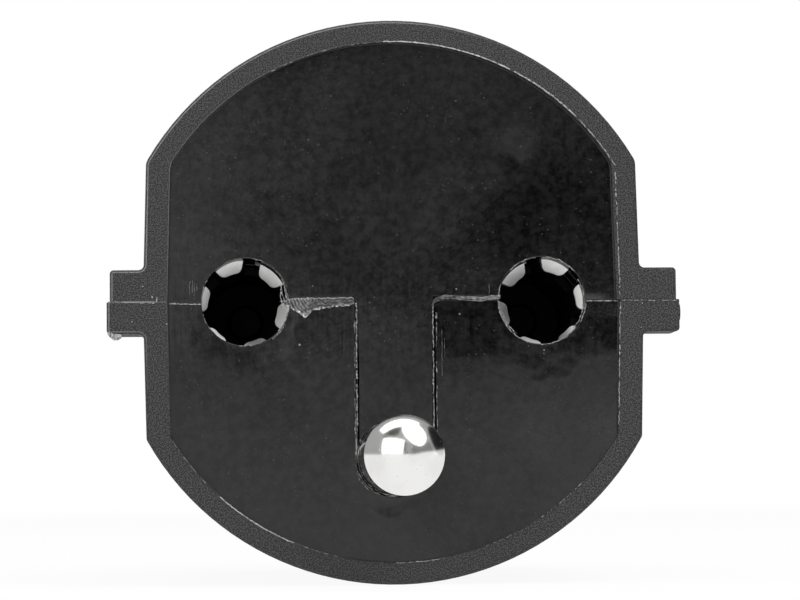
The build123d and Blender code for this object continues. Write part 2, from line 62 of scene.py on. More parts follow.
# %% [markdown]
# The lens of a product photograph is long, so the housing looks flat and its far end stays hidden
# behind the face. The place of the camera follows from the earth pin: its tip is nearer than the face,
# so how far it is shifted and enlarged tells the distance. A camera can be turned by Euler angles or by
# a look-at rotation. The rotation is shorter to write, and a small roll finishes it.

# %% Camera
CAMERA_PLACE = Vector((-7.5, -177.8, -12.04)) * MM
CAMERA_AIM = Vector((0.39, 0.5, 0.07)) * MM
CAMERA_LENS = 125.8
CAMERA_ROLL = radians(0.5)

camera = bpy.data.objects.new("camera", bpy.data.cameras.new("camera"))
bpy.context.scene.collection.objects.link(camera)
turn = (CAMERA_AIM - CAMERA_PLACE).to_track_quat("-Z", "Y").to_matrix().to_4x4()
camera.matrix_world = Matrix.Translation(CAMERA_PLACE) @ turn @ Matrix.Rotation(-CAMERA_ROLL, 4, "Z")
camera.data.lens = CAMERA_LENS
camera.data.sensor_width = 36
camera.data.clip_start = 0.01
bpy.context.scene.camera = camera
print("camera to face", round((CAMERA_AIM - CAMERA_PLACE).length / MM, 1), "mm")

# %% [markdown]
# Node trees are long to write by hand, and shader maths is easier to read as arithmetic. One class wraps
# a socket, so that `mask * 0.5 + 0.1` adds its Math nodes, and one method adds any other node from its
# type, its settings and its sockets. Groups would also work, but an export can't always follow them.

# %% A wire that does arithmetic, and a finish that collects nodes


class Wire:
    """One output socket of a node tree. Python's operators on it add Math nodes."""

    def __init__(self, finish, socket):
        self.finish = finish
        self.socket = socket

    def maths(self, operation, *others):
        return self.finish.node("Math", {"operation": operation}, dict(enumerate((self, *others))))

    def __add__(self, other):
        return self.maths("ADD", other)

    def __mul__(self, other):
        return self.maths("MULTIPLY", other)

    def __sub__(self, other):
        return self.maths("SUBTRACT", other)

    def __rsub__(self, other):
        return self.finish.node("Math", {"operation": "SUBTRACT"}, {0: other, 1: self})

    __radd__ = __add__
    __rmul__ = __mul__

    def step(self, low, high):
        """0 up to low and 1 from high, smooth between. With low above high it falls instead."""
        sockets = {"Value": self, "From Min": low, "From Max": high}
        return self.finish.node("MapRange", {"interpolation_type": "SMOOTHSTEP"}, sockets)

    def size(self):
        return self.maths("ABSOLUTE")

    def clamped(self):
        """Keeps the result of the last sum between 0 and 1."""
        self.socket.node.use_clamp = True
        return self


class Finish:
    """A node tree that grows one call at a time, for a material or for the world."""

    def __init__(self, owner):
        owner.use_nodes = True
        self.owner = owner
        self.tree = owner.node_tree

    def node(self, kind, settings=None, sockets=None, output=0):
        made = self.tree.nodes.new("ShaderNode" + kind)
        for name, value in (settings or {}).items():
            setattr(made, name, value)
        for key, value in (sockets or {}).items():
            self.plug(made.inputs[key], value)
        return Wire(self, made.outputs[output])

    def plug(self, socket, value):
        if isinstance(value, Wire):
            self.tree.links.new(value.socket, socket)
        else:
            socket.default_value = value

    def colour(self, factor, first, second):
        sockets = {0: factor, 6: first, 7: second}
        return self.node("Mix", {"data_type": "RGBA"}, sockets, 2)

    def vector(self, operation, first, second, output=0):
        return self.node("VectorMath", {"operation": operation}, {0: first, 1: second}, output)

    def place(self):
        """Object coordinates in millimetres, as a vector wire and its three numbers."""
        metres = self.node("TexCoord", output=3)
        vector = self.node("VectorMath", {"operation": "SCALE"}, {0: metres, "Scale": 1 / MM})
        return vector, self.split(vector)

    def split(self, vector):
        return [self.node("SeparateXYZ", {}, {0: vector}, axis) for axis in range(3)]

    def grain(self, vector, per_mm, detail=2.0, roughness=0.5, stretch=(1, 1, 1)):
        """Noise around 0.5 with so many lumps in a millimetre, stretched along the axes."""
        if stretch != (1, 1, 1):
            vector = self.vector("MULTIPLY", vector, stretch)
        sockets = {"Vector": vector, "Scale": per_mm, "Detail": detail, "Roughness": roughness}
        return self.node("TexNoise", {}, sockets)

    def bump(self, height, depth_mm, normal=None):
        sockets = {"Height": height, "Distance": depth_mm * MM, "Strength": 1.0}
        if normal:
            sockets["Normal"] = normal
        return self.node("Bump", {}, sockets)

    def ray_is(self, *kinds):
        """1 for a ray of one of these kinds."""
        path = self.node("LightPath").socket.node
        return sum(Wire(self, path.outputs[f"Is {kind} Ray"]) for kind in kinds).clamped()

    def surface(self, sockets):
        shader = self.tree.nodes["Principled BSDF"]
        for key, value in sockets.items():
            self.plug(shader.inputs[key], value)


def grey(value):
    return (value, value, value, 1.0)


# %% [markdown]
# The housing is one black plastic with two textures. Outside and on the rim the mould was spark
# eroded, which leaves a fine matt grain. The sunk socket face was polished once and is now smoother,
# with specks and vertical drag marks. Two materials could be assigned face by face, but a mask from the
# position keeps one material on each shell and needs no selection.

# %% Housing plastic: the mask of the face, and the grains
RIM_Y = 0.0
FACE_Y = 0.5
FACE_ARC = 16.65
FACE_HALF_WIDTH = 14.45
FACE_LEAN = 0.0244
MASK_EDGE = 0.1
FACE_STARTS = (0.15, 0.35)

housing = Finish(bpy.data.materials.new("housing_plastic"))
spot, (across, depth, height) = housing.place()
from_axis = (across * across + height * height).maths("SQRT")
round_part = from_axis.step(FACE_ARC + MASK_EDGE, FACE_ARC)
flat_line = across.size() + height.size() * FACE_LEAN
flat_part = flat_line.step(FACE_HALF_WIDTH + MASK_EDGE, FACE_HALF_WIDTH)
inside = round_part * flat_part * depth.step(*FACE_STARTS)

spark = housing.grain(spot, 11.0, 1.0, 0.6)
clouds = housing.grain(spot, 0.16, 2.0, 0.5)
mottle = housing.grain(spot, 1.7, 4.0, 0.75)
fine = housing.grain(spot, 7.0, 1.0, 0.6)
specks = housing.grain(spot, 6.0, 0.0).step(0.74, 0.8) * housing.grain(spot, 0.7, 1.0).step(0.42, 0.6)
drag = housing.grain(spot, 4.0, 2.0, 0.6, (1, 1, 0.05)) - 0.5
print("housing nodes", len(housing.tree.nodes))

# %% [markdown]
# Use has left its stains on the face. Polished ones mirror the dark camera sharply, greasy ones blur
# what they mirror, and dusty ones are a little paler. The plastic also sank below the holes, the pin and
# the seam while it cooled. An image could hold all this, but soft round stains need none and stay sharp.

# %% Stains and dips of the face
LEFT_HOLE = (-9.5, 0)
RIGHT_HOLE = (9.5, 0)
PIN_AXIS = (0, -10.0)
HOLE_RADIUS = 2.8
SLOT_SIDE = (2.45, 2.5)
WANDER = 2.0

broad = housing.grain(spot, 0.5, 1.0)
wander = (broad - 0.5) * WANDER
flat_spot = housing.vector("MULTIPLY", spot, (1, 0, 1))


def stain(centre_x, centre_z, edge, reach):
    """1 within a distance of a centre on the face, falling to 0 at a longer one."""
    away = housing.vector("DISTANCE", flat_spot, (centre_x, 0.0, centre_z), 1)
    return (away + wander).step(reach, edge)


def stains(rows):
    """Adds up the stains of some rows: centre x and z, edge, reach and strength."""
    return sum(stain(*row[:4]) * row[4] for row in rows)


def dip(centre, edge, reach):
    """1 at the lower edge of a hole, falling to 0 below it, where the face is level again."""
    centre_x, centre_z = centre
    return stain(centre_x, centre_z, edge, reach) * height.step(centre_z + 0.5, centre_z - 1.0)


hole_dips = dip(LEFT_HOLE, HOLE_RADIUS, 4.8) * 0.6 + dip(RIGHT_HOLE, HOLE_RADIUS, 4.8) * 0.8
below_seam = (height + wander).step(-3.8, -0.6) * height.step(0.02, -0.02)
below_seam = below_seam * across.size().step(*SLOT_SIDE) * (across.step(-4.0, 4.0) * 0.6 + 0.4)
dips = (hole_dips + dip(PIN_AXIS, 2.5, 3.6) * 0.7).maths("MAXIMUM", below_seam)
near_seam = height.step(-5.5, -1.5) * height.step(2.5, 0.5)
polished = stains([(11.0, 3.5, 3.0, 7.5, 0.45), (4.8, -2.0, 1.0, 4.0, 0.45)])
dusty = stains([(7.9, 9.8, 0.6, 3.2, 1.0), (-6.6, 3.6, 0.5, 3.0, 0.6), (2.0, 7.0, 1.0, 6.0, 0.3)])
greasy = stains([(4.6, -12.2, 2.0, 5.5, 0.24)])
print("housing nodes", len(housing.tree.nodes))

# %% [markdown]
# Colour, gloss and relief now follow from the masks. The upper left outer edge of the rim gets a painted
# highlight, a paler colour where it catches the lamps. A Bevel node rounds the edges in the shading only,
# and where its normal leaves the true one there is an edge, which gives the mask of the painted highlight.

# %% Colour, gloss and relief of the housing
EDGE_RADIUS = 0.12
GRAIN_DEPTH = 0.05
GRAIN_GREY = 0.052
FACE_GREYS = (0.002, 0.01)
DUST_GREY = 0.06
EDGE_HIGHLIGHT_GREY = 0.45
OUTER_ARC = (17.2, 17.6)
OUTER_FLAT = (15.1, 15.4)

rounded = housing.node("Bevel", {"samples": 6}, {"Radius": EDGE_RADIUS * MM})
facing = housing.vector("DOT_PRODUCT", rounded, housing.node("NewGeometry", output=1), 1)
outer = from_axis.step(*OUTER_ARC).maths("MAXIMUM", across.size().step(*OUTER_FLAT))
upper_left = (height - across).step(8.0, 19.0)
# Painted highlight: the rounded upper left outer edge of the rim is coloured paler where it catches the
# lamps.
rim_edge_highlight = facing.step(0.995, 0.93) * upper_left * depth.step(2.0, 1.0) * (1 - inside)

outside_colour = housing.colour(spark.step(0.46, 0.57), grey(0.0), grey(GRAIN_GREY))
outside_colour = housing.colour(rim_edge_highlight * (0.3 + outer * 0.6), outside_colour, grey(EDGE_HIGHLIGHT_GREY))
face_colour = housing.colour(mottle.step(0.35, 0.65), *map(grey, FACE_GREYS))
dust = specks * 0.5 + dusty * broad.step(0.3, 0.6) * 0.22
face_colour = housing.colour(dust, face_colour, grey(DUST_GREY))

outside_rough = 0.55 + (spark - 0.5) * 0.2
face_rough = 0.1 + clouds.step(0.3, 0.7) * 0.07 + (mottle - 0.5) * 0.09 + fine.step(0.4, 0.7) * 0.04
face_rough = (face_rough + drag * near_seam * 0.16 - dips * 0.05) * (1 - polished)
face_rough = face_rough + greasy + specks * 0.2
face_relief = fine * 0.02 + mottle * 0.012 + drag * near_seam * 0.05 - dips * 0.9

housing.surface({
    "Base Color": housing.colour(inside, outside_colour, face_colour),
    "Roughness": outside_rough * (1 - inside) + face_rough * inside,
    "Normal": housing.bump(spark * 1.6 * (1 - inside) + face_relief * inside, GRAIN_DEPTH, rounded),
})
print("housing nodes", len(housing.tree.nodes))

# %% [markdown]
# The earth pins and the blades are nickel plated brass, polished enough to mirror the studio. Real
# plate is never perfectly smooth, so a faint ripple and a little haze keep it from looking like glass.
# A round pin's mesh is made of flat facets, which a mirror shows, so its normals are worked out from
# the true cylinder and dome. Smooth shading can't do that here: the CAD mesh is loose triangles, which
# share no corners.

# %% Plated metals
NICKEL = (0.86, 0.855, 0.84)
DULLER = 0.82
SHAFT_KEEPS = 0.35


def plated(name, colour, rough, haze, ripple_mm, turned=None):
    """Polished plate. A turned pin adds a function for its normal and the share of roughness it keeps."""
    finish = Finish(bpy.data.materials.new(name))
    spot, places = finish.place()
    film = finish.grain(spot, 0.5, 3.0)
    ripple = finish.grain(spot, 1.2, 2.0)
    pits = finish.grain(spot, 7.0, 0.0).step(0.77, 0.82)
    dull = tuple(DULLER * v for v in colour)
    normal, kept = turned(finish, *places) if turned else (None, 1)
    finish.surface({
        "Base Color": finish.colour(film.step(0.4, 0.75) * 0.5 + pits * 0.4, (*colour, 1), (*dull, 1)),
        "Metallic": 1.0,
        "Roughness": (rough + film * haze + pits * 0.15) * kept,
        "Normal": finish.bump(ripple, ripple_mm, normal),
    })
    return finish


def round_pin(axis_z, dome_centre_y, shoulder_y, root_y):
    """The true normals of a shaft from root to shoulder and of the dome beyond it, with their gloss."""
    towards_tip = 1 if shoulder_y > root_y else -1

    def turned(finish, across, depth, height):
        dome = ((depth - shoulder_y) * towards_tip).step(-0.01, 0.01)
        parts = {0: across, 1: (depth - dome_centre_y) * dome, 2: height - axis_z}
        outward = finish.node("CombineXYZ", {}, parts)
        outward = finish.node("VectorMath", {"operation": "NORMALIZE"}, {0: outward})
        out_of_root = ((depth - root_y) * towards_tip).step(0.0, 0.02)
        sockets = {0: out_of_root, 4: finish.node("NewGeometry", output=1), 5: outward}
        normal = finish.node("Mix", {"data_type": "VECTOR"}, sockets, 1)
        return normal, SHAFT_KEEPS + dome * (1 - SHAFT_KEEPS)

    return turned


EARTH_PIN = round_pin(axis_z=PIN_AXIS[1], dome_centre_y=-11.3, shoulder_y=-12.54, root_y=FACE_Y)
GROUND_PIN = round_pin(axis_z=-11.9, dome_centre_y=53.5, shoulder_y=54.74, root_y=36.0)

# %% [markdown]
# The sleeves in the holes are plated sheet. Their petals shine at the front, and behind a depth the sheet
# is made nearly black, so the shine ends there.

# %% Plated sheet, and a finish for every node


def dark_behind_depth(name, colour, start_mm):
    """Plated sheet that is bright in front of a depth and nearly black behind it."""
    finish = Finish(bpy.data.materials.new(name))
    spot, (_, depth, _) = finish.place()
    film = finish.grain(spot, 1.5, 3.0)
    black = (depth + (film - 0.5) * 0.4).step(start_mm, start_mm + 0.5)
    bright = finish.colour(film.step(0.4, 0.75) * 0.5, (*colour, 1), (*(0.85 * v for v in colour), 1))
    finish.surface({
        "Base Color": finish.colour(black, bright, (0.012, 0.011, 0.01, 1)),
        "Metallic": 1 - black * 0.6,
        "Roughness": 0.26 + film * 0.12 + black * 0.4,
        "Normal": finish.bump(film, 0.006),
    })
    return finish


FINISHES = {
    "housing": housing,
    "plated_pin": plated("nickel_plate", NICKEL, 0.1, 0.06, 0.0006),
    "contact_metal": dark_behind_depth("plated_sheet", (0.93, 0.925, 0.91), 3.1),
    "strap_brass": plated("brass_strip", (0.78, 0.6, 0.3), 0.2, 0.2, 0.006),
    "spring_steel": plated("spring_steel", (0.55, 0.55, 0.56), 0.18, 0.15, 0.003),
    "rivet_steel": plated("blackened_steel", (0.016, 0.016, 0.016), 0.45, 0.2, 0.004),
    "screw_steel": plated("zinc_screw", (0.62, 0.63, 0.64), 0.2, 0.2, 0.004),
}
OWN_FINISH = {
    "earth_pin": plated("earth_pin_plate", NICKEL, 0.12, 0.06, 0.0006, EARTH_PIN),
    "ground_pin": plated("ground_pin_plate", NICKEL, 0.12, 0.06, 0.0006, GROUND_PIN),
}
for subpart in frame["record"]["subparts"]:
    node = frame["nodes"][subpart["node"]]
    finish = OWN_FINISH.get(subpart["node"], FINISHES[subpart["material_slot"]])
    node.data.materials.clear()
    node.data.materials.append(finish.owner)
print("finishes", sorted(FINISHES), sorted(OWN_FINISH))

# %% [markdown]
# The moulds don't close perfectly. Molten plastic creeps into their joints and hardens there as thin
# skins, called flash, which turn grey where they were torn or stretched. A bump pattern could draw
# them, but they stand off the face and catch the light, so each is a real skin: a grid whose cells are
# laid between two edge lines, wrinkled by a function, and given a thickness. An edge line is a list of
# pairs (s, t), and the skin is laid flat, upright or around a centre.

# %% Flash finish and the film maker
SKIN_STOCK = 0.03

# The pale colour is torn flash, and on the hairs at the edges it is also a painted highlight.
flash_and_highlight = Finish(bpy.data.materials.new("flash_and_edge_highlights"))
spot, _ = flash_and_highlight.place()
tear = flash_and_highlight.grain(spot, 9.0, 2.0, 0.7)
pale = flash_and_highlight.node("Attribute", {"attribute_name": "pale"}, output=2)
flash_and_highlight.surface({
    "Base Color": flash_and_highlight.colour((pale + (tear - 0.5) * 0.3).clamped(), grey(0.012), grey(0.6)),
    "Roughness": 0.45 - tear * 0.2,
    "Normal": flash_and_highlight.bump(tear, 0.02),
})


def add_piece(name, mesh, finish):
    data = bpy.data.meshes.new(name)
    mesh.to_mesh(data)
    mesh.free()
    data.materials.append(finish.owner)
    made = bpy.data.objects.new(name, data)
    bpy.context.scene.collection.objects.link(made)
    return made


def add_to_housing(name, mesh, finish=flash_and_highlight):
    """Makes the mesh a piece that stays with the housing."""
    piece = add_piece(name, mesh, finish)
    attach(piece, "root")
    print(name, len(piece.data.polygons), "faces")


def finish_film(name, mesh, stock=SKIN_STOCK, finish=flash_and_highlight):
    """Gives the skins their thickness and makes them one piece."""
    bmesh.ops.solidify(mesh, geom=mesh.faces[:], thickness=stock * MM)
    bmesh.ops.recalc_face_normals(mesh, faces=mesh.faces)
    add_to_housing(name, mesh, finish)


def between(points):
    """The function that runs straight from one point to the next."""
    def at(s):
        for (s0, t0), (s1, t1) in zip(points, points[1:]):
            if s <= s1:
                return t0 + (t1 - t0) * max(0.0, s - s0) / (s1 - s0)
        return points[-1][1]
    return at


def flat(s, t):
    return s, t


def upright(s, t):
    return t, s


def around(centre_x, centre_z):
    """Lays s as an angle in degrees and t as a radius."""
    return lambda s, t: (centre_x + t * cos(radians(s)), centre_z + t * sin(radians(s)))


def hair(paleness):
    """How far a hair stands off at a place, and how pale it is there: flash, and on edges a painted
    highlight.
    """
    def at(x, z, level):
        wave = noise.noise((x * 8, z * 8, 1.0))
        return 0.02 + 0.02 * wave, paleness + wave * 0.8
    return at


def lay_film(mesh, low_edge, high_edge, cells, lay=flat, shape=hair(0.35), plane=FACE_Y, ragged=0.03):
    """Adds one skin of cells (along, across) between two edges, with a shape(x, z, level across it)."""
    low, high = between(low_edge), between(high_edge)
    first, last = low_edge[0][0], low_edge[-1][0]
    paleness = mesh.verts.layers.float.get("pale") or mesh.verts.layers.float.new("pale")
    made = bmesh.ops.create_grid(mesh, x_segments=cells[0], y_segments=cells[1], size=0.5)
    for vertex in made["verts"]:
        s = first + (vertex.co.x + 0.5) * (last - first)
        level = vertex.co.y + 0.5
        t = low(s) + level * (high(s) - low(s))
        clean_x, clean_z = lay(s, t)
        x, z = lay(s, t + noise.noise((clean_x * 5, plane, clean_z * 5)) * ragged)
        rise, vertex[paleness] = shape(x, z, level)
        vertex.co = Vector((x, plane - rise, z)) * MM


def lay_strip(mesh, low_edge, width, *how, **settings):
    """Adds one skin that has the same width all along its low edge."""
    lay_film(mesh, low_edge, [(s, t + width) for s, t in low_edge], *how, **settings)


def lay_hair(mesh, run, middle, width, cells, *how, **settings):
    """Adds a strip from the start to the end of a run, with so many cells in each unit of its length."""
    start, end = run
    per_unit, least, rows = cells
    low = middle - width / 2
    along = max(least, int((end - start) * per_unit))
    lay_strip(mesh, [(start, low), (end, low)], width, (along, rows), *how, **settings)


# %% [markdown]
# The largest burr hangs from the seam, right of the left hole. Its skin folded as it was torn off: curved
# ridges around one point at its left end, and level ones along the rest, which end in a frayed lower edge.

# %% The torn burr between the left hole and the slot
BURR_LOW = [
    (-7.0, -0.2), (-6.73, -0.31), (-6.24, -0.6), (-5.69, -1.03), (-5.46, -0.81), (-5.14, -0.55),
    (-4.65, -0.45), (-4.08, -0.39), (-3.79, -0.33), (-2.9, -0.29), (-2.73, -0.21), (-2.55, -0.1),
]
BURR_HIGH = [(-7.0, 0.05), (-6.73, 0.12), (-6.24, 0.26), (-5.0, 0.24), (-2.69, 0.24), (-2.55, 0.2)]
LOBE_ENDS = -5.2
FOLD_POINT = (-4.9, 0.5)
FOLD_STEP = 0.2
FRAY_SHARE = 0.25
TOP_SHARE = 0.12


def folds(x, z, level):
    lobe = max(0.0, min(1.0, (LOBE_ENDS - x) * 2 + 0.5))
    curved = ((x - FOLD_POINT[0]) ** 2 + (z - FOLD_POINT[1]) ** 2) ** 0.5
    crumple = noise.noise((x * 4, z * 6, 2.0))
    turns = (curved * lobe + z * (1 - lobe)) / FOLD_STEP + crumple * 0.5
    ridge = sin(turns * 2 * pi) * (0.35 + 0.5 * lobe + crumple)
    fray = max(0.0, 1 - level / FRAY_SHARE)
    top = max(0.0, 1 - (1 - level) / TOP_SHARE)
    spots = max(0.0, noise.noise((x * 7, z * 7, 5.0)))
    rise = 0.07 + 0.035 * ridge + 0.05 * fray + 0.015 * noise.noise((x * 9, z * 9, 3.0))
    pale_part = 0.05 + 0.16 * ridge + fray * (0.1 + 2.2 * spots) + 0.3 * top + 0.1 * lobe
    return rise, pale_part + 0.15 * noise.noise((x * 3, z * 5, 7.0))


burr = bmesh.new()
lay_film(burr, BURR_LOW, BURR_HIGH, (140, 30), shape=folds, ragged=0.08)
finish_film("left_seam_burr", burr)

# %% [markdown]
# On the other side of the slot the flash is a narrow band on the seam, and outside the holes it is hardly
# more than a line. The seam goes on over the rim and the ears as a broken thread, whose paleness is partly
# flash and partly a painted highlight where the seam's edge catches the light from above.

# %% Flash along the seam
BAND_LOW = [
    (2.44, -0.5), (2.56, -0.14), (2.8, 0.0), (3.29, 0.14), (3.93, 0.1), (5.5, -0.03), (6.1, 0.06),
    (6.82, 0.16),
]
BAND_HIGH = [
    (2.44, -0.3), (2.56, 0.02), (2.8, 0.2), (3.29, 0.37), (3.93, 0.3), (5.5, 0.2), (6.1, 0.28),
    (6.82, 0.32),
]
# The last column, paleness, is partly flash and partly a painted highlight of the seam's edge.
SEAM_THREADS = [
    (FACE_Y, (-14.35, -13.7), -0.09, 0.08, 0.4), (FACE_Y, (-13.66, -12.3), -0.12, 0.06, 0.4),
    (FACE_Y, (12.3, 14.4), -0.05, 0.07, 0.25), (RIM_Y, (-16.2, -15.15), -0.07, 0.05, 0.2),
    (RIM_Y, (-18.2, -17.3), 0.0, 0.04, 0.15), (RIM_Y, (14.6, 15.9), -0.07, 0.05, 0.2),
    (RIM_Y, (16.1, 18.2), -0.08, 0.05, 0.25),
]
THREAD_CELLS = (14, 6, 2)


def band_folds(x, z, level):
    """Two ridges along the band's edges, paler towards the hole."""
    ridge = cos(level * 4 * pi)
    tears = noise.noise((x * 4, z * 8, 2.0))
    return 0.05 + 0.03 * ridge, 0.1 + 0.08 * ridge + 0.07 * max(0.0, x - 3.2) + 0.45 * tears


band = bmesh.new()
lay_film(band, BAND_LOW, BAND_HIGH, (110, 10), shape=band_folds)
for plane, run, middle, width, paleness in SEAM_THREADS:
    lay_hair(band, run, middle, width, THREAD_CELLS, shape=hair(paleness), plane=plane)
lay_strip(band, [(-0.1, -15.2), (0.3, -15.12)], 0.05, (8, 2), upright, plane=RIM_Y)
finish_film("seam_flash", band)

# %% [markdown]
# The edges of the slot, of its round end and of the two holes carry a broken hair: a thin bead of flash
# with a painted highlight, paler where the rounded edge catches the light. Each hair is a narrow film too,
# laid upright or around a centre.

# %% Hairs with painted highlights on the slot and the holes
SLOT_EDGE_HIGHLIGHTS = [
    (-2.41, 0.09, 0.2, [(-8.3, -5.3), (-4.95, -4.4), (-4.25, -0.1)]),
    (-2.53, 0.05, 0.1, [(-8.6, -6.2), (-5.7, -4.9), (-4.3, -2.9), (-2.1, -1.2)]),
    (2.49, 0.08, 0.22, [(-8.6, -6.1), (-6.0, -3.2), (-3.0, -0.3)]),
    (2.7, 0.05, 0.1, [(-8.5, -5.4), (-4.6, -3.9), (-2.9, -1.3)]),
    (2.72, 0.12, 0.1, [(-1.15, -0.75)]),
]
RING_EDGE_HIGHLIGHTS = [
    (PIN_AXIS, 2.55, 0.03, 0.2, [(160, 166), (171, 176), (180, 184), (190, 195)]),
    (PIN_AXIS, 2.55, 0.03, 0.2, [(198, 214), (218, 229), (233, 246)]),
    (PIN_AXIS, 2.66, 0.03, 0.2, [(199, 212), (215, 231)]),
    (LEFT_HOLE, 2.81, 0.04, 0.1, [(150, 178), (196, 236), (262, 300), (20, 50), (66, 118)]),
    (LEFT_HOLE, 2.81, 0.05, 0.4, [(318, 352)]),
    (LEFT_HOLE, 2.92, 0.05, 0.3, [(306, 330)]),
    (RIGHT_HOLE, 2.81, 0.05, 0.3, [(38, 84), (98, 136), (158, 256), (268, 310), (330, 356)]),
    (RIGHT_HOLE, 2.69, 0.06, 0.25, [(196, 232), (318, 352), (6, 30)]),
]
RING_CELLS = (0.5, 1, 1)

edge_highlights = bmesh.new()
# Painted highlight: the paleness of these hairs stands for their edges catching the light.
for middle_x, width, paleness, runs in SLOT_EDGE_HIGHLIGHTS:
    for run in runs:
        lay_hair(edge_highlights, run, middle_x, width, THREAD_CELLS, upright, hair(paleness), ragged=0.05)
for centre, radius, width, paleness, runs in RING_EDGE_HIGHLIGHTS:
    for run in runs:
        lay_hair(edge_highlights, run, radius, width, RING_CELLS, around(*centre), hair(paleness), ragged=0.06)
print("edge_highlights", len(edge_highlights.faces), "cells")

# %% [markdown]
# Where the rim turns down to the face its inner edge carries such hairs as well, frayed flash with a
# painted
# highlight of the edge: along the arcs they are laid around the middle of the face, and along the right
# side upright, at the same lean as the wall.

# %% Hairs with painted highlights on the inner edge of the rim
RIM_HAIR_Y = RIM_Y + 0.02
ARC_EDGE_HIGHLIGHTS = [
    (31, 44, 0.06, 0.3), (45, 62, 0.08, 0.5), (63, 92, 0.07, 0.6), (93, 118, 0.04, 0.1),
    (212, 226, 0.04, 0.1), (228, 247, 0.07, 0.5), (249, 257, 0.04, 0.1), (270, 281, 0.05, 0.25),
    (290, 297, 0.04, 0.1), (303, 316, 0.04, 0.1),
]
SIDE_HIGHLIGHT_RUNS = [(-8.0, -5.2), (-5.0, -2.9), (-2.6, -0.2), (0.3, 3.4), (3.6, 5.0), (5.4, 8.2)]

for start, end, width, paleness in ARC_EDGE_HIGHLIGHTS:
    edge = [(angle, FACE_ARC - 0.01) for angle in (start, end)]
    cells = (int((end - start) * 2), 1)
    lay_strip(edge_highlights, edge, width, cells, around(0, 0), hair(paleness), RIM_HAIR_Y, 0.04)
for start, end in SIDE_HIGHLIGHT_RUNS:
    edge = [(z, FACE_HALF_WIDTH - abs(z) * FACE_LEAN) for z in (start, end)]
    lay_strip(edge_highlights, edge, 0.06, (int((end - start) * 8), 1), upright, hair(0.3), RIM_HAIR_Y, 0.06)
finish_film("painted_edge_highlights", edge_highlights)

# %% [markdown]
# The gap beside the tongue is wider than the clearance that the pieces need, and its dark is shade inside
# it. So a matt black film on each side of the slot and around the pin's root paints that shade and widens
# the dark line, with no gloss that would make it grey.

# %% Painted shade of the gaps at the slot's sides and around the pin's root
FILM_STOCK = 0.01
ROOT_GAP = (
    [(95, 2.42), (330, 2.42)],
    [(95, 2.45), (160, 2.46), (200, 2.49), (330, 2.48)],
)
SIDE_GAPS = [
    ([(-8.7, 2.53), (-0.3, 2.53)], [(-8.7, 2.67), (-4.0, 2.66), (-0.3, 2.62)]),
    ([(-9.2, -2.37), (-0.4, -2.36)], [(-9.2, -2.27), (-3.4, -2.26), (-2.2, -2.31), (-0.4, -2.32)]),
]

# Painted shade: black without gloss, standing for the shade inside the gaps.
shade = Finish(bpy.data.materials.new("gap_painted_shade"))
shade.surface({
    "Base Color": shade.colour(shade.grain(shade.place()[0], 6.0), grey(0.0), grey(0.002)),
    "Roughness": 0.9,
    "Specular IOR Level": 0.0,
})


def even(x, z, level):
    """The shape of a film that lies on the face."""
    return FILM_STOCK, 0.0


gap = bmesh.new()
lay_film(gap, *ROOT_GAP, (120, 2), around(*PIN_AXIS), even, ragged=0.02)
for low_edge, high_edge in SIDE_GAPS:
    lay_film(gap, low_edge, high_edge, (60, 2), upright, even)
finish_film("slot_gap_painted_shade", gap, FILM_STOCK, shade)

# %% [markdown]
# Inside the left hole, beside the burr, a few loops of the same skin hang like a torn curtain. A corner of
# the lower left ear also kept a torn tag.

# %% Curtain and ear tag
TAG_LOW = [(-18.25, -1.93), (-18.1, -2.1), (-17.85, -2.3), (-17.6, -2.32), (-17.35, -2.18)]
TAG_HIGH = [(-18.25, -1.84), (-18.1, -1.93), (-17.85, -1.99), (-17.6, -2.03), (-17.35, -2.06)]
TAG_STOCK = 0.12

curtain = bmesh.new()
for radius, start, end in [(2.36, -6, 20), (2.5, -3, 28), (2.62, -8, 12), (2.72, -4, 32)]:
    loop = [(start, radius), ((start + end) / 2, radius - 0.12), (end, radius + 0.02)]
    lay_strip(curtain, loop, 0.05, (24, 1), around(*LEFT_HOLE), plane=0.62)
lay_strip(curtain, [(-7.3, 0.0), (-6.85, 0.02)], 0.05, (8, 1), plane=0.6)
lay_film(curtain, [(-7.2, -0.35), (-6.8, -0.3)], [(-7.2, -0.1), (-6.8, 0.0)], (8, 4), plane=0.58)
finish_film("hole_curtain", curtain)

tag = bmesh.new()
lay_film(tag, TAG_LOW, TAG_HIGH, (24, 6), plane=RIM_HAIR_Y)
finish_film("ear_tag", tag, TAG_STOCK)

# %% [markdown]
# A few scuffs and scratches run up and down the face. The drag marks in the housing's pattern are all
# over it, but these have their own places, so each is a thin film, as the hairs of flash are.

# %% Scuffs
SCUFFS = [
    (-13.05, 0.5, 1.25, 0.15), (-12.88, 0.6, 1.4, 0.15), (-12.76, 0.45, 1.3, 0.15),
    (-12.6, 0.7, 1.2, 0.15), (3.03, -4.8, -1.8, 0.08), (3.2, -3.6, -2.4, 0.05), (6.1, 0.4, 1.1, 0.1),
    (-3.35, -3.4, -1.6, 0.04),
]


def scratch(paleness):
    """The shape of a scratch: it lies on the face, and its paleness comes and goes."""
    return lambda x, z, level: (FILM_STOCK, paleness + 0.3 * noise.noise((x * 9, 0, z * 4)))


scuffs = bmesh.new()
for x, start, end, paleness in SCUFFS:
    lay_strip(scuffs, [(start, x), (end, x)], 0.03, (12, 1), upright, scratch(paleness))
finish_film("scuffs", scuffs, FILM_STOCK)

# %% [markdown]
# Dust and moulding crumbs lie on the face and the rim. The housing's pattern already holds the faint
# specks, so only the bright crumbs are pieces, each a small sphere that noise makes uneven.

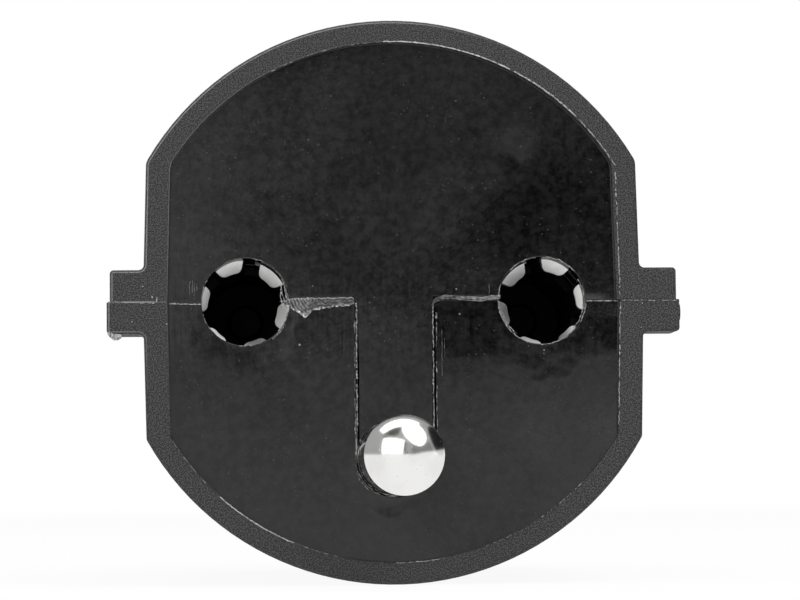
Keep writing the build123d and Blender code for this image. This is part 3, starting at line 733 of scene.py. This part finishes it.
# %% Crumbs
CRUMBS = [
    (-15.4, 0.3, 0.09, RIM_Y), (-16.0, 1.0, 0.06, RIM_Y), (-16.7, -1.25, 0.06, RIM_Y),
    (-14.5, -1.4, 0.06, RIM_Y), (-1.24, -11.8, 0.06, FACE_Y), (-2.42, -1.4, 0.08, FACE_Y),
    (-13.0, 1.3, 0.04, FACE_Y), (-6.05, -2.75, 0.09, FACE_Y), (4.0, 0.75, 0.06, FACE_Y),
    (4.2, -0.85, 0.06, FACE_Y), (9.6, -3.2, 0.05, FACE_Y), (-5.2, 1.0, 0.04, FACE_Y),
    (15.9, -0.25, 0.05, RIM_Y), (15.8, -1.8, 0.05, RIM_Y),
]
CRUMB_PALENESS = 0.5

crumbs = bmesh.new()
pale_layer = crumbs.verts.layers.float.new("pale")
for number, (x, z, size, plane) in enumerate(CRUMBS):
    made = bmesh.ops.create_icosphere(crumbs, subdivisions=2, radius=0.8 * size * MM)
    for vertex in made["verts"]:
        vertex.co *= 1 + 0.35 * noise.noise(vertex.co / MM * 12 + Vector((number, 0, 0)))
        vertex[pale_layer] = CRUMB_PALENESS
    bmesh.ops.translate(crumbs, vec=Vector((x, plane, z)) * MM, verts=made["verts"])
add_to_housing("crumbs", crumbs)

# %% [markdown]
# The photograph has a pure white ground. The floor gets that white from its own colour: rays from the
# camera, and those that gloss or glass sends on, see mostly plain white, and the rest of the shader is
# lit by the lamps, so the object's shadow stays. Turning the lamps up instead would burn out the object.
# Further off the floor fades to plain white, and the room behind it is white too, so no horizon shows
# and the floor needs no backdrop.

# %% Floor
GROUND_REACH = 6.0
GROUND_WHITE = 0.93
FADE = (200.0, 900.0)

ground = Finish(bpy.data.materials.new("studio_ground"))
_, (east, north, _) = ground.place()
far_off = (east * east + north * north).maths("SQRT").step(*FADE)
white_share = GROUND_WHITE + far_off * (1 - GROUND_WHITE)
white_share = ground.ray_is("Camera", "Glossy", "Transmission") * white_share
lit = ground.node("BsdfDiffuse", {}, {"Color": grey(0.9)})
plain = ground.node("Emission", {}, {"Color": grey(1.0), "Strength": 1.0})
ground.plug(
    ground.tree.nodes["Material Output"].inputs["Surface"],
    ground.node("MixShader", {}, {0: white_share, 1: lit, 2: plain}),
)

floor_mesh = bmesh.new()
bmesh.ops.create_grid(floor_mesh, x_segments=1, y_segments=1, size=GROUND_REACH)
bmesh.ops.translate(floor_mesh, vec=(0, 0, cad_low[2]), verts=floor_mesh.verts)
floor = add_piece("floor", floor_mesh, ground)
print("floor at", round(cad_low[2] / MM, 2), "mm")

# %% [markdown]
# Three soft boxes light the adapter: one at the left, one high at the right, and a long one overhead. The
# domed tip of the earth pin mirrors all of them, so their places come from the directions in which that
# tip shows them.

# %% Lamps
TIP = Vector((0, -11.6, -10.0)) * MM
LAMP_WATTS = 4  # for each square metre of an area lamp and each unit of radiance


def soft_box(name, direction, distance, width, tall, radiance, shape="RECTANGLE", level=False):
    lamp = bpy.data.lights.new(name, "AREA")
    lamp.shape = shape
    lamp.size = width
    lamp.size_y = tall
    lamp.energy = LAMP_WATTS * width * tall * radiance
    box = bpy.data.objects.new(name, lamp)
    bpy.context.scene.collection.objects.link(box)
    place = TIP + Vector(direction).normalized() * distance
    turn = Matrix() if level else (TIP - place).to_track_quat("-Z", "Y").to_matrix().to_4x4()
    box.matrix_world = Matrix.Translation(place) @ turn
    print(name, "at", [round(v, 2) for v in place], "m")


soft_box("left_soft_box", (-0.485, -0.765, 0.385), 0.6, 0.63, 0.42, 1.35)
soft_box("right_soft_box", (0.41, -0.43, 0.80), 0.6, 0.54, 0.74, 1.4, "ELLIPSE")
soft_box("top_soft_box", (-0.21, 0.02, 1.0), 0.57, 0.8, 0.25, 1.4, level=True)

# %% [markdown]
# Around the lamps is a grey room. The dome and the flat face mirror what stands in it: the dark camera,
# its stand and a dark flag at the right, which is why the upper right of the face is nearly black, and
# the bright edge of the table. Objects could stand there, but they would cast shadows and show in other
# views, so the world is painted with soft patches instead. The camera itself sees plain white.

# %% The room
ROOM_GREY = 0.4
TABLE_GLARE = 0.75
DARK_THINGS = {
    "lens": ((0.01, -0.87, 0.49), 0.05, 0.11, 1.0),
    "camera body": ((0.105, -1, 0.08), 0.045, 0.075, 0.97),
    "side flag": ((0.86, 0.3, 0.36), 0.38, 0.45, 0.97),
    "right wall": ((0.75, -0.65, 0.1), 0.45, 0.62, 0.45),
    "ceiling left": ((-0.35, -0.375, 0.86), 0.12, 0.3, 0.8),
    "ceiling far left": ((-0.6, -0.29, 0.745), 0.08, 0.22, 0.48),
    "ceiling middle": ((-0.07, -0.3, 0.95), 0.08, 0.2, 0.4),
}
BRIGHT_THINGS = {
    "gap beside the camera": ((0.125, -1, 0.025), 0.02, 0.05, 0.8),
    "glow left of the camera": ((-0.07, -1, 0.1), 0.02, 0.07, 0.4),
}

room = Finish(bpy.data.worlds.new("room"))
bpy.context.scene.world = room.owner
way = room.node("TexCoord", output=0)
sideways, backwards, above = room.split(way)


def patches(things):
    """Adds up soft round things, each with its direction, an inner and an outer chord and a strength."""
    total = 0
    for direction, inner, outer, strength in things.values():
        away = room.vector("DISTANCE", way, tuple(Vector(direction).normalized()), 1)
        total = total + away.step(outer, inner) * strength
    return total


from_middle = (sideways - 0.01).size()
stand = from_middle.step(0.03, 0.015) * above.step(0.5, 0.4)
arm = from_middle.step(0.08, 0.04) * above.step(0.5, 0.42) * above.step(0.17, 0.22)
camera_side = backwards.step(0.0, -0.5)
dark = (patches(DARK_THINGS) + (stand * 0.7 + arm * 0.6) * camera_side).clamped()
table_edge = (above - sideways.step(0.3, 1.0) * 0.1).step(0.06, 0.0)
brightness = ROOM_GREY * (1 - dark) + table_edge * TABLE_GLARE + patches(BRIGHT_THINGS)
room_light = room.node("CombineXYZ", {}, {0: brightness, 1: brightness, 2: brightness})
seen_directly = room.ray_is("Camera", "Transmission")
room.plug(
    room.tree.nodes["Background"].inputs["Color"],
    room.colour(seen_directly, room_light, grey(1.0)),
)
bpy.context.scene.view_settings.view_transform = "Standard"
print("room nodes", len(room.tree.nodes))
